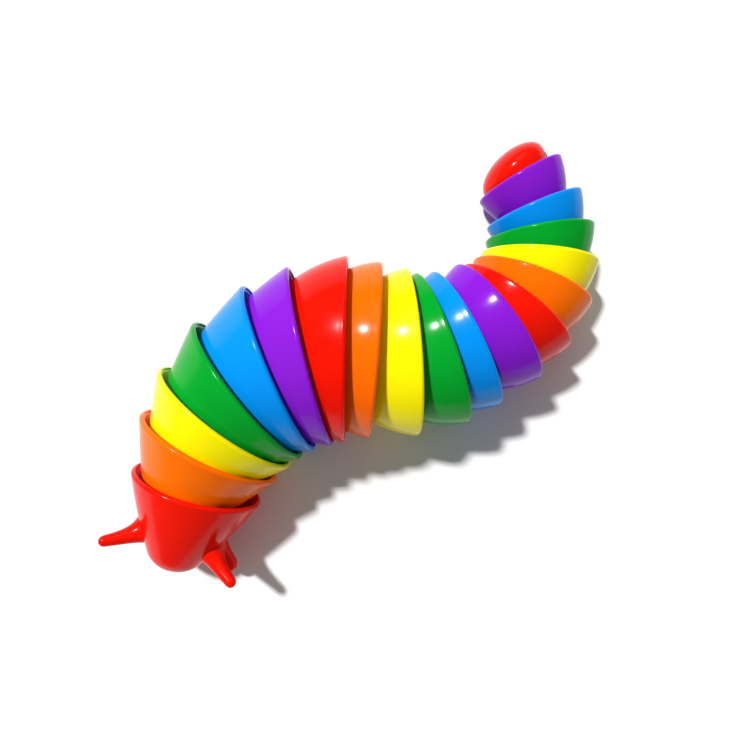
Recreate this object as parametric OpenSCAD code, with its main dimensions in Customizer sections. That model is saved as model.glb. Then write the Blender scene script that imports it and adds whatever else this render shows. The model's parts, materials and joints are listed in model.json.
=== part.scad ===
// Articulated rainbow slug: a chain of nested, hollow, flat-bottomed shells.
// Neighbouring shells are joined by a flat link that slides on one shell's post
// and turns on the next shell's post. +Z is up and the slug lies on z = 0.

/* [Body] */
// Radius of the widest shell at its rim
body_radius = 21; // [18:0.5:24]
// Radius lost from one shell to the next behind the widest shell
rear_loss = 0.96; // [0.8:0.01:1]
// Strength of the narrowing from the widest shell to the head
front_loss = 0.144; // [0.12:0.002:0.15]
// Height of a shell's axis above the floor, as a part of its radius
axis_ratio = 0.667; // [0.6:0.01:0.7]
// Depth of a shell, apart from what its radius adds
depth_base = 7; // [6.5:0.1:7.5]
// Depth that each millimetre of radius adds
depth_gain = 0.43; // [0.4:0.01:0.46]
// Thickness of the shell walls
wall = 1.1; // [0.9:0.1:1.3]
// Slope of a shell's side, in degrees
side_slope = 18; // [17:1:20]
// Rounding between side and front, as a part of the radius
front_round = 0.38; // [0.34:0.01:0.4]

/* [Head] */
// Radius of the head at its rim
head_radius = 15.4; // [15:0.1:16]
// Length of the head from its rim to the tip of the snout
head_length = 20.6; // [19:0.1:21]
// Slope of the head's side, in degrees
head_slope = 27; // [26:1:28]
// Rounding of the snout
snout_round = 6.6; // [6:0.1:6.8]
// Length of an eye stalk
stalk_length = 10; // [8:0.5:12]
// Radius of an eye stalk at its root
stalk_root = 2.3; // [1.8:0.1:2.6]
// Radius of the ball at the end of a stalk
stalk_tip = 1.35; // [1:0.05:1.6]
// Radius of a feeler at its root
feeler_start = 2.4; // [2:0.1:2.6]
// Radius of the ball at the end of a feeler
feeler_end = 2.1; // [1.7:0.1:2.3]

/* [Tail] */
// How far the closed tail dome stands out behind its rim
tail_dome = 2.6; // [2.4:0.1:8]

/* [Links] */
// Height of the plane in which the links lie
link_plane = 6.6; // [6.5:0.1:6.8]
// Distance of a post's axis in front of its shell's rim
post_place = 2; // [1.5:0.1:2.2]
// Radius of a post
post_radius = 1; // [0.9:0.05:1.1]
// Running clearance between a post and the eye around it
eye_play = 0.08; // [0.04:0.01:0.1]
// Thickness of a link
link_thick = 1; // [0.8:0.1:1]
// Radius of the rounded ends of a link
link_end = 2; // [1.9:0.05:2.1]
// Longest pull-out of a link
pull_limit = 2.2; // [1:0.1:2.4]

/* [Hidden] */
$fn = 72;
count = 19;
widest = 7;
tail_number = count;
tail_step = 0.8;
colours = ["#E8160C", "#FF7A00", "#FFE81A", "#0E9A34", "#1486E0", "#8430C4"];

// Rest pose: distance from each shell's rim to the next one's, and the bend between them.
rest_pitch = [10, 7.8, 8.3, 8.5, 7.5, 8, 6.5, 8.5, 7, 6, 8.5, 6, 7, 6, 6, 6, 8, 4.5];
rest_bend = [-10, -10, -14, -15, -9, -15, -3, 8, 15, 7, 9, 16, 16, 16, 14, 14, 7, 14];
head_place = [-36.12, -30.33];
head_turn = 252;

// Levels above and below the link plane.
layer_gap = 0.15;
level_top = layer_gap + link_thick;
cap_bottom = level_top + 0.2;
cap_top = cap_bottom + 0.8;
arm_bottom = cap_top + 0.25;
arm_top = arm_bottom + 1.2;
cap_radius = 1.7;
flat_half = 0.8;
slot_half = flat_half + 0.1;
slot_play = 0.15;
arm_half = 1.7;
bracket_half = 1.2;
bracket_length = 2.2;
window_half_height = arm_top + 0.6;
window_swing = 26;
window_play = 1.4;
bend_room = 1.6;
belly = 1.2;
edge_proud = 0.15;
far = 100;

function two(n) = n < 10 ? str("0", n) : str(n);
function shell_name(n) = n == 1 ? "head" : n == tail_number ? "tail" : str("shell_", two(n));
function link_name(n) = str("link_", two(n));

// Sizes of shell n, counted from the head.
function front_radius(n) = body_radius - front_loss * pow(widest - n, 2);
function rear_radius(n) = body_radius - rear_loss * (n - widest);
function radius(n) = n == 1 ? head_radius : n == tail_number ? rear_radius(n) - tail_step
    : n <= widest ? front_radius(n) : rear_radius(n);
function axis_height(n) = axis_ratio * radius(n);
function depth(n) = n == 1 ? head_length : depth_base + depth_gain * radius(n);
function slope(n) = n == 1 ? head_slope : side_slope + max(0, 10 - 2 * abs(n - 2.5));
function rounding(n) = n == 1 ? snout_round : front_round * radius(n);
function cavity_depth(n) = n == 1 ? depth(n) - 3 : depth(n) - wall;
function colour(n) = colours[(n - 1) % len(colours)];

// Front end of the space inside shell n that the next shell's front never enters.
function clear_from(n) = n == tail_number ? 4 : depth(n + 1) - rest_pitch[n - 1] + bend_room;

// Half width of the window through which the bracket of the shell in front swings.
function window_half(n) = (depth(n) - post_place) * sin(window_swing) + arm_half + window_play;

// Pull-out of link n, kept short where the links are crowded.
function pull(n) = n == 1 ? pull_limit : min(pull_limit, rest_pitch[n - 2] - 4.5);

// Heading and rim centre of each shell at rest.
function turn(n) = n == 1 ? head_turn : turn(n - 1) + rest_bend[n - 2];
function along(n) = [cos(turn(n)), sin(turn(n))];
function place(n) = n == 1 ? head_place
    : place(n - 1) - (rest_pitch[n - 2] - post_place) * along(n - 1) - post_place * along(n);

module at_shell(n) {
    translate([place(n).x, place(n).y, 0])
        rotate(turn(n))
            children();
}

// Half of a shell's outline, revolved about the Y axis: straight side, rounded shoulder, flat front.
// The shoulder's circle stands a little proud, so it meets the side and the front in crisp edges.
module half_outline(r, d, angle, shoulder, overrun = 0) {
    side = d - shoulder * (1 - sin(angle));
    side_radius = r - side * tan(angle);
    middle = [side_radius - shoulder * cos(angle) + edge_proud, side - shoulder * sin(angle) + edge_proud];
    intersection() {
        polygon([
            [0, -overrun],
            [r + overrun * tan(angle), -overrun],
            [r - d * tan(angle), d],
            [0, d]
        ]);
        union() {
            square([middle.x, 2 * d]);
            translate([0, -2 * d])
                square([2 * r, 2 * d + middle.y]);
            translate(middle)
                circle(shoulder);
        }
    }
}

// A revolved body that lies along +X with its axis at height h.
module lying(h) {
    translate([0, 0, h])
        rotate([0, 90, 0])
            rotate_extrude()
                children();
}

module under_floor() {
    translate([-far, -far, -2 * far])
        cube(2 * far);
}

module shell_outside(n) {
    lying(axis_height(n))
        half_outline(radius(n), depth(n), slope(n), rounding(n));
}

module shell_inside(n) {
    lying(axis_height(n))
        half_outline(radius(n) - wall / cos(slope(n)), cavity_depth(n), slope(n), rounding(n) - wall, 1);
}

// Opening in a shell's front for the bracket and the link of the shell before it.
module window(n) {
    low = link_plane - window_half_height;
    translate([clear_from(n), -window_half(n), low])
        cube([depth(n), 2 * window_half(n), 2 * window_half_height]);
}

// Plate that closes the belly in front of the space used by the next shell.
module belly_plate(n) {
    translate([clear_from(n), -far, 0])
        cube([far, 2 * far, belly]);
}

// Post that stands on an arm, with a round part for one link and flats for the other.
module post() {
    difference() {
        translate([0, 0, -arm_bottom - 0.5])
            cylinder(r = post_radius, h = arm_bottom + 0.5 + cap_bottom + 0.1);
        for (side = [-1, 1])
            translate([-2, side * (flat_half + 1) - 1, layer_gap - 0.1])
                cube([4, 2, link_thick + 0.2]);
    }
    translate([0, 0, cap_bottom])
        cylinder(r = cap_radius, h = cap_top - cap_bottom);
}

module arm(length) {
    translate([0, 0, -arm_top]) {
        cylinder(r = arm_half, h = arm_top - arm_bottom);
        translate([0, -arm_half, 0])
            cube([length, 2 * arm_half, arm_top - arm_bottom]);
    }
}

// Bracket of an odd shell: it stands on the belly plate.
module floor_bracket(n) {
    length = clear_from(n) + bracket_length - post_place;
    translate([post_place, 0, link_plane]) {
        post();
        arm(length);
    }
    translate([clear_from(n), -bracket_half, belly / 2])
        cube([bracket_length, 2 * bracket_half, link_plane - arm_bottom - belly / 2 - 0.3]);
}

// Bracket of an even shell: it hangs from the front wall above the window.
module roof_bracket(n) {
    length = clear_from(n) + bracket_length - post_place;
    translate([post_place, 0, link_plane])
        mirror([0, 0, 1]) {
            post();
            arm(length);
        }
    translate([clear_from(n), -bracket_half, link_plane + arm_bottom + 0.3])
        cube([bracket_length, 2 * bracket_half, 5]);
    translate([clear_from(n), -bracket_half, link_plane + window_half_height + 0.3])
        cube([far, 2 * bracket_half, 3.4]);
}

module bracket(n) {
    if (n % 2 == 1)
        floor_bracket(n);
    else
        roof_bracket(n);
}

// Everything that is hollow in shell n: its bowl and its window, less the bracket and the belly.
module hollow(n) {
    difference() {
        union() {
            shell_inside(n);
            if (n > 1)
                window(n);
        }
        belly_plate(n);
        bracket(n);
    }
}

module hollow_shell(n) {
    difference() {
        shell_outside(n);
        hollow(n);
        under_floor();
    }
}

// Tapered stalk with a round end, from one point towards another.
module stalk(from, to, root, tip) {
    run = to - from;
    flat_run = norm([run.x, run.y]);
    translate(from)
        rotate([0, atan2(flat_run, run.z), atan2(run.y, run.x)]) {
            cylinder(r1 = root, r2 = tip * 0.85, h = norm(run));
            translate([0, 0, norm(run)])
                sphere(tip);
            sphere(root);
        }
}

module face() {
    eye_root = [12.4, 7.6, 11.2];
    eye_lean = [4.5, 7.2, 5];
    eye_run = eye_lean * stalk_length / norm(eye_lean);
    feeler_root = [13, 6.6, 6.5];
    feeler_run = [3.8, 4, -1];
    for (side = [0, 1])
        mirror([0, side, 0]) {
            stalk(eye_root, eye_root + eye_run, stalk_root, stalk_tip);
            stalk(feeler_root, feeler_root + feeler_run, feeler_start, feeler_end);
        }
}

module head() {
    color(colour(1))
        at_shell(1)
            difference() {
                union() {
                    shell_outside(1);
                    face();
                }
                hollow(1);
                under_floor();
            }
}

module middle_shell(n) {
    color(colour(n))
        at_shell(n)
            hollow_shell(n);
}

// Closed dome behind the tail's rim.
module dome(r, d, overrun = 0) {
    lying(axis_height(tail_number))
        mirror([0, 1])
            half_outline(r, d, side_slope, d * 0.8, overrun);
}

module tail() {
    color(colour(tail_number))
        at_shell(tail_number)
            difference() {
                union() {
                    shell_outside(tail_number);
                    dome(radius(tail_number), tail_dome);
                }
                hollow(tail_number);
                difference() {
                    dome(radius(tail_number) - wall / cos(side_slope), tail_dome - wall, 1);
                    translate([-2 * far, -far, 0])
                        cube([2 * far, 2 * far, belly]);
                    bracket(tail_number);
                }
                under_floor();
            }
}

// Link n: a slot over the flats of shell n's post and an eye around the next shell's post.
module link(n) {
    reach = rest_pitch[n - 1];
    bottom = n % 2 == 1 ? layer_gap : -level_top;
    color("#F4F4EE")
        at_shell(n)
            translate([post_place, 0, link_plane + bottom])
                difference() {
                    union() {
                        cylinder(r = link_end, h = link_thick);
                        translate([pull(n), 0, 0])
                            cylinder(r = link_end, h = link_thick);
                        translate([0, -link_end, 0])
                            cube([pull(n), 2 * link_end, link_thick]);
                        translate([-reach, -link_end * 0.75, 0])
                            cube([reach, link_end * 1.5, link_thick]);
                        translate([-reach, 0, 0])
                            cylinder(r = link_end, h = link_thick);
                    }
                    translate([-post_radius - slot_play, -slot_half, -1])
                        cube([pull(n) + 2 * (post_radius + slot_play), 2 * slot_half, link_thick + 2]);
                    translate([-reach, 0, -1])
                        cylinder(r = post_radius + eye_play, h = link_thick + 2);
                }
}

head();
for (n = [2 : count - 1])
    middle_shell(n);
tail();
for (n = [1 : count - 1])
    link(n);
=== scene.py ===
# Looks of the articulated rainbow slug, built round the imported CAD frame.
# Lengths in the shape code are millimetres.
import json
import math

import bmesh
import bpy
from mathutils import Matrix, Vector


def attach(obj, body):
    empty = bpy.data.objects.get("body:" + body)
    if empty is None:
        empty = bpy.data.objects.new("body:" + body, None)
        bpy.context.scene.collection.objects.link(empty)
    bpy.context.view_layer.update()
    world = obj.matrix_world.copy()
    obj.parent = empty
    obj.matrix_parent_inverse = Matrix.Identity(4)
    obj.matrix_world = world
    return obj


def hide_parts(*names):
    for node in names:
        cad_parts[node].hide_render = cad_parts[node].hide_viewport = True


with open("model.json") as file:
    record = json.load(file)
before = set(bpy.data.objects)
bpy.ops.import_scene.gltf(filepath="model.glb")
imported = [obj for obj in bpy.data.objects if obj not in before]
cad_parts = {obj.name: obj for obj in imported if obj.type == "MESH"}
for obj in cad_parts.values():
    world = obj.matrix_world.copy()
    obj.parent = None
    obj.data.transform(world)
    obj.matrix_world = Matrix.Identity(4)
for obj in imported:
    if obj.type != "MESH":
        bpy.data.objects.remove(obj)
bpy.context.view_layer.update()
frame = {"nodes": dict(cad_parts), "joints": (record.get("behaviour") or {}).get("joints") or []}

MM = 0.001
FAR = 99
SEGMENTS = 160

# Shells, counted from the head: radii at the rims, depths and walls.
COUNT = 19
WIDEST = 7
BODY_RADIUS = 21.0
FRONT_LOSS = 0.144
REAR_LOSS = 0.96
TAIL_STEP = 0.8
AXIS_RATIO = 0.667
DEPTH_BASE = 7
DEPTH_GAIN = 0.43
WALL = 1.1
LIP = 0.62
BELLY = 1.2
FRONT_SHOULDER = 0.38
REAR_SHOULDER = 0.3

# Slope at the rim, and radius of the bulge, of each shell's side. The front shells nest tightly and stay
# nearly straight.
RIM_SLOPE = [23, 27, 27, 25, 23, 21, 12] + [7] * 11 + [4]
BULGE = [154, 400, 400, 300, 200, 120, 31.5] + [25] * 11 + [28]

# Head
HEAD_RADIUS = 15.4
HEAD_LENGTH = 20.6
HEAD_PITCH = 10.0
SNOUT_SHOULDER = 6.4
SNOUT_WALL = 1.9
FLARE_FADE = 2.2
EYE = dict(start=(10.9, 5.4, 10.4), end=(16.9, 14.8, 16.4), sag=(0.5, -0.4, 0.2),
           root=2.0, tip=1.22, flare=1.9, buried=4.0)
FEELER = dict(start=(11.6, 5.2, 7.0), end=(17.9, 12.0, 5.8), sag=(0.3, 0, 0),
              root=2.5, tip=2.15, flare=1.0, buried=3.0)

# Tail: how far its round end stands out, the middle of that end, and where it leaves the side.
TAIL_DOME = 2.4
TAIL_CENTRE = 2.35
TAIL_JOIN = 3.0
TAIL_CLEAR = 4.0

# Links, posts and windows
POST_PLACE = 2.0
LINK_PLANE = 6.6
BEND_ROOM = 1.6
WINDOW_SWING = 26
WINDOW_SPARE = 3.1
WINDOW_HALF_HEIGHT = 4.2
BRACKET_LENGTH = 2.2
BRACKET_HALF = 1.2
ARM_HALF = 1.62

COLOURS = ["red", "orange", "yellow", "green", "blue", "purple"]


def shell_name(n):
    return "head" if n == 1 else "tail" if n == COUNT else f"shell_{n:02d}"


def radius(n):
    if n == 1:
        return HEAD_RADIUS
    if n <= WIDEST:
        return BODY_RADIUS - FRONT_LOSS * (WIDEST - n) ** 2
    return BODY_RADIUS - REAR_LOSS * (n - WIDEST) - (TAIL_STEP if n == COUNT else 0)


def depth(n):
    return HEAD_LENGTH if n == 1 else DEPTH_BASE + DEPTH_GAIN * radius(n)


def axis_height(n):
    return AXIS_RATIO * radius(n)


def shoulder(n):
    """Radius of the rounding between shell n's side and its front."""
    return SNOUT_SHOULDER if n == 1 else (FRONT_SHOULDER if n < WIDEST else REAR_SHOULDER) * radius(n)


def ahead_of_post(joint, way, distance):
    """Point on the floor at a distance from a bend's post, along the heading way."""
    px, py, _ = joints[joint]["pos_m"]
    return Vector((px / MM + distance * math.cos(way), py / MM + distance * math.sin(way), 0))


# Where each shell lies, read from the joints: heading from its pull joint, place from its post.
joints = {j["name"]: j for j in frame["joints"]}
heading, rim = {}, {}
for n in range(1, COUNT):
    ax = joints[f"pull_{n:02d}"]["axis"]
    heading[n] = math.atan2(-ax[1], -ax[0])
    lo, hi = joints[f"bend_{n:02d}"]["range_deg"]
    heading[n + 1] = heading[n] - math.radians((lo + hi) / 2)
for n in range(2, COUNT + 1):
    rim[n] = ahead_of_post(f"bend_{n - 1:02d}", heading[n], -POST_PLACE)
rim[1] = ahead_of_post("bend_01", heading[1], HEAD_PITCH - POST_PLACE)


def pitch(n):
    """Distance from shell n's rim to the next one's at rest."""
    next_post = Vector(joints[f"bend_{n:02d}"]["pos_m"]) / MM
    return (next_post.xy - rim[n].xy).length + POST_PLACE


def clear_from(n):
    """Front end of the space inside shell n that the next shell's front may use."""
    return TAIL_CLEAR if n == COUNT else depth(n + 1) - pitch(n) + BEND_ROOM


def window_half(n):
    """Half width of the window through which the bracket in front swings."""
    return (depth(n) - POST_PLACE) * math.sin(math.radians(WINDOW_SWING)) + WINDOW_SPARE


# ---------------------------------------------------------------- mesh tools


def mesh_object(name, verts, faces):
    me = bpy.data.meshes.new(name)
    me.from_pydata([tuple(v) for v in verts], [], faces)
    bm = bmesh.new()
    bm.from_mesh(me)
    bmesh.ops.recalc_face_normals(bm, faces=bm.faces)
    bm.to_mesh(me)
    bm.free()
    ob = bpy.data.objects.new(name, me)
    bpy.context.scene.collection.objects.link(ob)
    return ob


def lathe(name, profile, height, segments):
    """A closed body turned about the line y = 0, z = height.

    profile holds (x, r), and r is 0 at its first and last point."""
    verts = [Vector((profile[0][0], 0, height))]
    for x, r in profile[1:-1]:
        for k in range(segments):
            a = 2 * math.pi * k / segments
            verts.append(Vector((x, r * math.sin(a), height + r * math.cos(a))))
    verts.append(Vector((profile[-1][0], 0, height)))
    last = len(verts) - 1
    rings = len(profile) - 2
    faces = []
    for k in range(segments):
        m = (k + 1) % segments
        faces.append((0, 1 + k, 1 + m))
        faces.append((last, 1 + (rings - 1) * segments + m, 1 + (rings - 1) * segments + k))
        for i in range(rings - 1):
            a, b = 1 + i * segments, 1 + (i + 1) * segments
            faces.append((a + k, b + k, b + m, a + m))
    return mesh_object(name, verts, faces)


def upright(name, profile, x, segments=32):
    """A closed body turned about a vertical line through x, 0. profile holds (z, r)."""
    ob = lathe(name, profile, 0, segments)
    ob.data.transform(Matrix.Translation((x, 0, 0)) @ Matrix.Rotation(-math.pi / 2, 4, "Y"))
    return ob


def box(name, x0, x1, y0, y1, z0, z1):
    verts = [(x, y, z) for x in (x0, x1) for y in (y0, y1) for z in (z0, z1)]
    faces = [(0, 1, 3, 2), (4, 6, 7, 5), (0, 4, 5, 1), (2, 3, 7, 6), (0, 2, 6, 4), (1, 5, 7, 3)]
    return mesh_object(name, verts, faces)


def drop(ob):
    me = ob.data
    bpy.data.objects.remove(ob)
    bpy.data.meshes.remove(me)


def combine(ob, other, how):
    """Boolean of ob with other, applied to ob's mesh. other is used up."""
    mod = ob.modifiers.new("cut", "BOOLEAN")
    mod.operation = how
    mod.object = other
    mod.solver = "MANIFOLD"
    dg = bpy.context.evaluated_depsgraph_get()
    me = bpy.data.meshes.new_from_object(ob.evaluated_get(dg))
    old = ob.data
    ob.modifiers.clear()
    ob.data = me
    bpy.data.meshes.remove(old)
    drop(other)
    return ob


# ---------------------------------------------------------------- shells


def arc(cx, cr, r, a0, a1, steps):
    """Points (x, r) on a circle about (cx, cr), from angle a0 to a1."""
    angles = [a0 + (a1 - a0) * i / steps for i in range(steps + 1)]
    return [(cx + r * math.cos(a), cr + r * math.sin(a)) for a in angles]


def side_curve(n, inset):
    """Points (x, r) of shell n's side from its front to its rim, every surface moved inwards by inset."""
    R, D, Q, rho = radius(n), depth(n), BULGE[n - 1], shoulder(n)
    a = math.radians(RIM_SLOPE[n - 1])
    xc, rc = -Q * math.sin(a), R - Q * math.cos(a)
    xs = D - rho
    rs = rc + math.sqrt((Q - rho) ** 2 - (xs - xc) ** 2)
    turn = math.atan2(rs - rc, xs - xc)
    end = math.acos(-xc / (Q - inset))
    return arc(xs, rs, rho - inset, 0, turn, 12) + arc(xc, rc, Q - inset, turn, end, 18)[1:]


def shell_body(n):
    """Solid body of shell n with a rounded lip at its rim; the cavity is cut later."""
    side = side_curve(n, 0)
    a = math.radians(RIM_SLOPE[n - 1])
    r_end = side[-1][1]
    keep = [p for p in side if p[0] > LIP * 1.2]
    lip = arc(LIP, r_end - LIP * (1 / math.cos(a) + math.tan(a)), LIP, math.pi / 2 - a, math.pi, 8)
    return lathe(shell_name(n), [(depth(n), 0)] + keep + lip + [(0, 0)], axis_height(n), SEGMENTS)


def cavity(n):
    """Space inside shell n, a little wider at the lip. The head's ends in a flat behind the snout."""
    side = side_curve(n, WALL)
    r_end = side[-1][1]
    keep = [p for p in side if p[0] > LIP * 0.9]
    flare = [(LIP * 0.8, r_end + 0.01), (LIP * 0.35, r_end + 0.05), (0, r_end + 0.12), (-1, r_end + 0.6)]
    front = keep[0][0]
    if n == 1:
        front -= SNOUT_WALL
        keep = [p for p in keep if p[0] < front]
        keep = [(front, keep[0][1] - 0.4)] + keep
    return lathe("cavity", [(front, 0)] + keep + flare + [(-1, 0)], axis_height(n), SEGMENTS)


def post(n):
    """Post with its cap and arm, and the foot that joins it to the shell.

    Heights in pin, arm_end and block count from the link plane, upwards in odd shells and
    downwards in even ones."""
    cf = clear_from(n)
    up = 1 if n % 2 else -1

    def z(v):
        return LINK_PLANE + up * v

    def block(name, x0, x1, y0, y1, a, b):
        return box(name, x0, x1, y0, y1, min(z(a), z(b)), max(z(a), z(b)))

    cap = [(1.35, 1.0), (1.35, 1.55), (1.5, 1.7), (2.0, 1.7), (2.15, 1.5), (2.15, 0)]
    pin = [(-2.9, 0), (-2.9, 1.0)] + cap
    ob = upright("post", [(z(v), r) for v, r in pin], POST_PLACE)
    for side in (-1, 1):
        y0, y1 = sorted((side * 0.8, side * 2.8))
        combine(ob, block("slab", POST_PLACE - 2, POST_PLACE + 2, y0, y1, 0.05, 1.25), "DIFFERENCE")
    arm_end = [(-3.6, 0), (-3.6, 1.5), (-3.4, 1.7), (-2.6, 1.7), (-2.4, 1.5), (-2.4, 0)]
    combine(ob, upright("arm_end", [(z(v), r) for v, r in arm_end], POST_PLACE), "UNION")
    foot_end = cf + BRACKET_LENGTH
    combine(ob, block("arm", POST_PLACE, foot_end, -ARM_HALF, ARM_HALF, -3.55, -2.45), "UNION")
    if up > 0:
        foot = box("foot", cf, foot_end, -BRACKET_HALF, BRACKET_HALF, BELLY / 2, LINK_PLANE - 2.7)
        return combine(ob, foot, "UNION")
    foot = box("foot", cf, foot_end, -BRACKET_HALF, BRACKET_HALF, LINK_PLANE + 2.7, LINK_PLANE + 7.7)
    combine(ob, foot, "UNION")
    beam = box("beam", cf + 0.3, cf + 40, -1.15, 1.15, LINK_PLANE + 4.5, LINK_PLANE + 7.6)
    return combine(ob, beam, "UNION")


def window(n):
    half = window_half(n)
    low, high = LINK_PLANE - WINDOW_HALF_HEIGHT, LINK_PLANE + WINDOW_HALF_HEIGHT
    return box("window", clear_from(n), depth(n) + 5, -half, half, low, high)


def hollow_out(ob, n, hollow, plate_from):
    """Cut hollow from shell n, but for its belly plate, which starts at plate_from, and its post."""
    if n > 1:
        combine(hollow, window(n), "UNION")
    combine(hollow, box("belly", plate_from, FAR, -FAR, FAR, -60, BELLY), "DIFFERENCE")
    combine(hollow, post(n), "DIFFERENCE")
    combine(ob, hollow, "DIFFERENCE")
    return combine(ob, box("floor_cut", -FAR, FAR, -FAR, FAR, -FAR, 0), "DIFFERENCE")


def make_shell(n, extra=()):
    ob = shell_body(n)
    for part in extra:
        combine(ob, part, "UNION")
    return hollow_out(ob, n, cavity(n), clear_from(n))


# ---------------------------------------------------------------- head and tail


def tube(name, points, radii, segments=40):
    """A closed round bar through points, with rounded ends."""
    points = [Vector(p) for p in points]
    verts, faces = [], []
    up = Vector((0.2, 0.1, 1)).normalized()
    for i, p in enumerate(points):
        t = (points[min(i + 1, len(points) - 1)] - points[max(i - 1, 0)]).normalized()
        u = t.cross(up).normalized()
        v = u.cross(t)
        for k in range(segments):
            a = 2 * math.pi * k / segments
            verts.append(p + radii[i] * (math.cos(a) * u + math.sin(a) * v))
    rings = len(points)
    for i in range(rings - 1):
        for k in range(segments):
            m = (k + 1) % segments
            a, b = i * segments, (i + 1) * segments
            faces.append((a + k, a + m, b + m, b + k))
    verts += [points[0], points[-1]]
    for k in range(segments):
        m = (k + 1) % segments
        faces.append((len(verts) - 2, m, k))
        faces.append((len(verts) - 1, (rings - 1) * segments + k, (rings - 1) * segments + m))
    return mesh_object(name, verts, faces)


def stalk(name, side, start, end, sag, root, tip, flare, buried):
    """Stalk from start to end, rounded at its tip, and mirrored if side is -1.

    It is buried in the head for a length, and flares where it comes out."""
    start, end = Vector(start), Vector(end)
    length = (end - start).length
    points, radii = [], []
    steps = 26
    for i in range(steps + 1):
        s = i / steps
        points.append(start.lerp(end, s) + Vector(sag) * math.sin(math.pi * s))
        radii.append(root + (tip - root) * s + flare * math.exp(-max(0, s * length - buried) / FLARE_FADE))
    way = (points[-1] - points[-2]).normalized()
    for i in range(1, 9):
        a = math.pi / 2 * i / 8.3
        points.append(points[steps] + way * tip * math.sin(a))
        radii.append(tip * math.cos(a))
    return tube(name, [(p.x, side * p.y, p.z) for p in points], radii)


def make_head():
    parts = []
    for side in (-1, 1):
        parts.append(stalk("eye", side, **EYE))
        parts.append(stalk("feeler", side, **FEELER))
    return make_shell(1, parts)


def round_end(n, inset):
    """Points (x, r) of the tail's closed round end, from its side at TAIL_JOIN to the axis behind."""
    long = TAIL_CENTRE + TAIL_DOME - inset
    joined = min(side_curve(n, 0), key=lambda p: abs(p[0] - TAIL_JOIN))[1]
    start = math.acos((TAIL_JOIN - TAIL_CENTRE) / (TAIL_CENTRE + TAIL_DOME))
    wide = joined / math.sin(start) - inset
    steps = 28
    turns = [start + (math.pi - start) * i / steps for i in range(steps)]
    curve = [(TAIL_CENTRE + long * math.cos(t), wide * math.sin(t)) for t in turns]
    return curve + [(TAIL_CENTRE - long, 0)]


def make_tail():
    n = COUNT
    outer = [p for p in side_curve(n, 0) if p[0] > TAIL_JOIN + 0.1]
    inner = [p for p in side_curve(n, WALL) if p[0] > TAIL_JOIN + 0.1]
    ob = lathe("tail", [(depth(n), 0)] + outer + round_end(n, 0), axis_height(n), SEGMENTS)
    room = lathe("room", [(inner[0][0], 0)] + inner + round_end(n, WALL), axis_height(n), SEGMENTS)
    return hollow_out(ob, n, room, -FAR)


# ---------------------------------------------------------------- materials


def linear(hexa):
    """Linear colour of an sRGB hex string."""
    def one(c):
        c /= 255
        return c / 12.92 if c <= 0.04045 else ((c + 0.055) / 1.055) ** 2.4
    return tuple(one(int(hexa[i:i + 2], 16)) for i in (0, 2, 4))


def noise(nt, coords, scale, detail):
    node = nt.nodes.new("ShaderNodeTexNoise")
    node.inputs["Scale"].default_value = scale
    node.inputs["Detail"].default_value = detail
    nt.links.new(coords.outputs["Object"], node.inputs["Vector"])
    return node


def plastic(name, tones, rough, bump_scale, bump_strength, coat=0.0):
    """Moulded plastic, which drifts between two tones. rough is its range of roughness."""
    mat = bpy.data.materials.new(name)
    mat.use_nodes = True
    nt = mat.node_tree
    nt.nodes.clear()
    out = nt.nodes.new("ShaderNodeOutputMaterial")
    bsdf = nt.nodes.new("ShaderNodeBsdfPrincipled")
    coords = nt.nodes.new("ShaderNodeTexCoord")
    nt.links.new(bsdf.outputs[0], out.inputs[0])
    # Slow drift of tone, as in pigmented plastic.
    drift = noise(nt, coords, 45, 3)
    ramp = nt.nodes.new("ShaderNodeValToRGB")
    for element, place, tone in zip(ramp.color_ramp.elements, (0.3, 0.7), tones):
        element.position = place
        element.color = (*linear(tone), 1)
    nt.links.new(drift.outputs["Fac"], ramp.inputs["Fac"])
    nt.links.new(ramp.outputs["Color"], bsdf.inputs["Base Color"])
    # Gloss that varies a little where the mould was polished unevenly.
    patch = noise(nt, coords, 160, 4)
    spread = nt.nodes.new("ShaderNodeMapRange")
    spread.inputs["From Min"].default_value = 0.3
    spread.inputs["From Max"].default_value = 0.7
    spread.inputs["To Min"].default_value = rough[0]
    spread.inputs["To Max"].default_value = rough[1]
    nt.links.new(patch.outputs["Fac"], spread.inputs["Value"])
    nt.links.new(spread.outputs["Result"], bsdf.inputs["Roughness"])
    # Faint waviness and grain of a moulded surface.
    wave = noise(nt, coords, bump_scale, 2)
    bump = nt.nodes.new("ShaderNodeBump")
    bump.inputs["Strength"].default_value = bump_strength
    bump.inputs["Distance"].default_value = 0.0002
    nt.links.new(wave.outputs["Fac"], bump.inputs["Height"])
    nt.links.new(bump.outputs["Normal"], bsdf.inputs["Normal"])
    bsdf.inputs["Coat Weight"].default_value = coat
    bsdf.inputs["Coat Roughness"].default_value = 0.08
    bsdf.inputs["Specular IOR Level"].default_value = 0.11
    return mat


TONES = {
    "red": ("F01000", "F41802"),
    "orange": ("FF6A00", "FF7400"),
    "yellow": ("FFF200", "FFF606"),
    "green": ("009A26", "04A42E"),
    "blue": ("008AEA", "0492F0"),
    "purple": ("8418CA", "8C20D0"),
}
paints = {c: plastic(f"{c}_plastic", TONES[c], (0.15, 0.21), 260, 0.03, 0.03) for c in COLOURS}
paints["link"] = plastic("link_plastic", ("E6E4DA", "EEECE4"), (0.42, 0.52), 500, 0.12)

# ---------------------------------------------------------------- pieces


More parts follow.
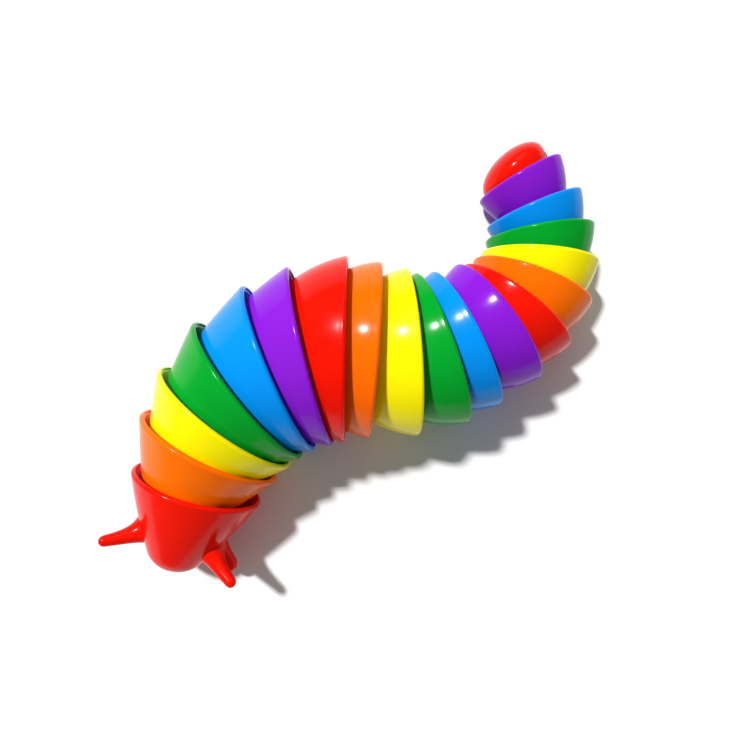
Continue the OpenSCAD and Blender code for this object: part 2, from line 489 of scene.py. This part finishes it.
def finish_mesh(ob, place):
    """Put a shell's mesh where it lies, in metres, weld it and shade it smooth but for its crisp edges."""
    ob.data.transform(Matrix.Scale(MM, 4) @ place)
    bm = bmesh.new()
    bm.from_mesh(ob.data)
    bmesh.ops.remove_doubles(bm, verts=bm.verts, dist=1e-6)
    bmesh.ops.dissolve_degenerate(bm, edges=bm.edges, dist=1e-6)
    bm.to_mesh(ob.data)
    bm.free()
    ob.data.shade_smooth()
    ob.data.set_sharp_from_angle(angle=math.radians(38))


for n in range(1, COUNT + 1):
    node = shell_name(n)
    piece = make_head() if n == 1 else make_tail() if n == COUNT else make_shell(n)
    piece.name = f"{node}_moulding"
    finish_mesh(piece, Matrix.Translation(rim[n]) @ Matrix.Rotation(heading[n], 4, "Z"))
    colour = COLOURS[(n - 1) % len(COLOURS)]
    piece.data.materials.clear()
    piece.data.materials.append(paints[colour])
    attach(piece, f"{node}_body")
    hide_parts(node)

for n in range(1, COUNT):
    ob = frame["nodes"][f"link_{n:02d}"]
    ob.data.materials.clear()
    ob.data.materials.append(paints["link"])
    bevel = ob.modifiers.new("soft_edges", "BEVEL")
    bevel.width = 0.12 * MM
    bevel.segments = 2
    bevel.limit_method = "ANGLE"
    bevel.angle_limit = math.radians(50)

# ---------------------------------------------------------------- floor, light, camera


def paper():
    """White paper for the floor."""
    mat = bpy.data.materials.new("paper")
    mat.use_nodes = True
    nt = mat.node_tree
    bsdf = nt.nodes["Principled BSDF"]
    grain = nt.nodes.new("ShaderNodeTexNoise")
    grain.inputs["Scale"].default_value = 30
    ramp = nt.nodes.new("ShaderNodeValToRGB")
    ramp.color_ramp.elements[0].color = (0.93, 0.93, 0.93, 1)
    ramp.color_ramp.elements[1].color = (0.95, 0.95, 0.95, 1)
    nt.links.new(grain.outputs["Fac"], ramp.inputs["Fac"])
    nt.links.new(ramp.outputs["Color"], bsdf.inputs["Base Color"])
    bsdf.inputs["Roughness"].default_value = 0.9
    bsdf.inputs["Specular IOR Level"].default_value = 0.1
    return mat


def make_floor():
    """A large sheet, a hair under the object so that their faces don't coincide."""
    me = bpy.data.meshes.new("floor")
    bm = bmesh.new()
    bmesh.ops.create_grid(bm, x_segments=4, y_segments=4, size=1.5)
    bm.to_mesh(me)
    bm.free()
    me.materials.append(paper())
    floor = bpy.data.objects.new("floor", me)
    floor.location.z = -0.05 * MM
    bpy.context.scene.collection.objects.link(floor)
    return floor


def sun(name, azimuth, elevation, strength, angle):
    """A soft distant light. azimuth is where it stands, in degrees from +X towards +Y."""
    data = bpy.data.lights.new(name, "SUN")
    data.energy = strength
    data.angle = math.radians(angle)
    ob = bpy.data.objects.new(name, data)
    a, e = math.radians(azimuth), math.radians(elevation)
    way = Vector((math.cos(a) * math.cos(e), math.sin(a) * math.cos(e), math.sin(e)))
    ob.rotation_mode = "QUATERNION"
    ob.rotation_quaternion = way.to_track_quat("Z", "Y")
    bpy.context.scene.collection.objects.link(ob)
    return ob


make_floor()

world = bpy.data.worlds.new("studio")
bpy.context.scene.world = world
world.use_nodes = True
world.node_tree.nodes["Background"].inputs["Color"].default_value = (1, 1, 1, 1)
world.node_tree.nodes["Background"].inputs["Strength"].default_value = 0.21

sun("key", 135, 52, 3.6, 4.5)
sun("top", 95, 40, 0.25, 30)

# The camera looks straight down from close by. Its shift keeps the slug in the middle of the picture.
scene = bpy.context.scene
scene.view_settings.view_transform = "Standard"
camera_data = bpy.data.cameras.new("camera")
camera_data.sensor_width = 36
camera_data.lens = 25.4
camera_data.shift_x = 0.0307
camera_data.shift_y = -0.0267
camera_data.clip_start = 0.01
camera = bpy.data.objects.new("camera", camera_data)
camera.location = (-0.30 * MM, -0.50 * MM, 134 * MM)
scene.collection.objects.link(camera)
scene.camera = camera
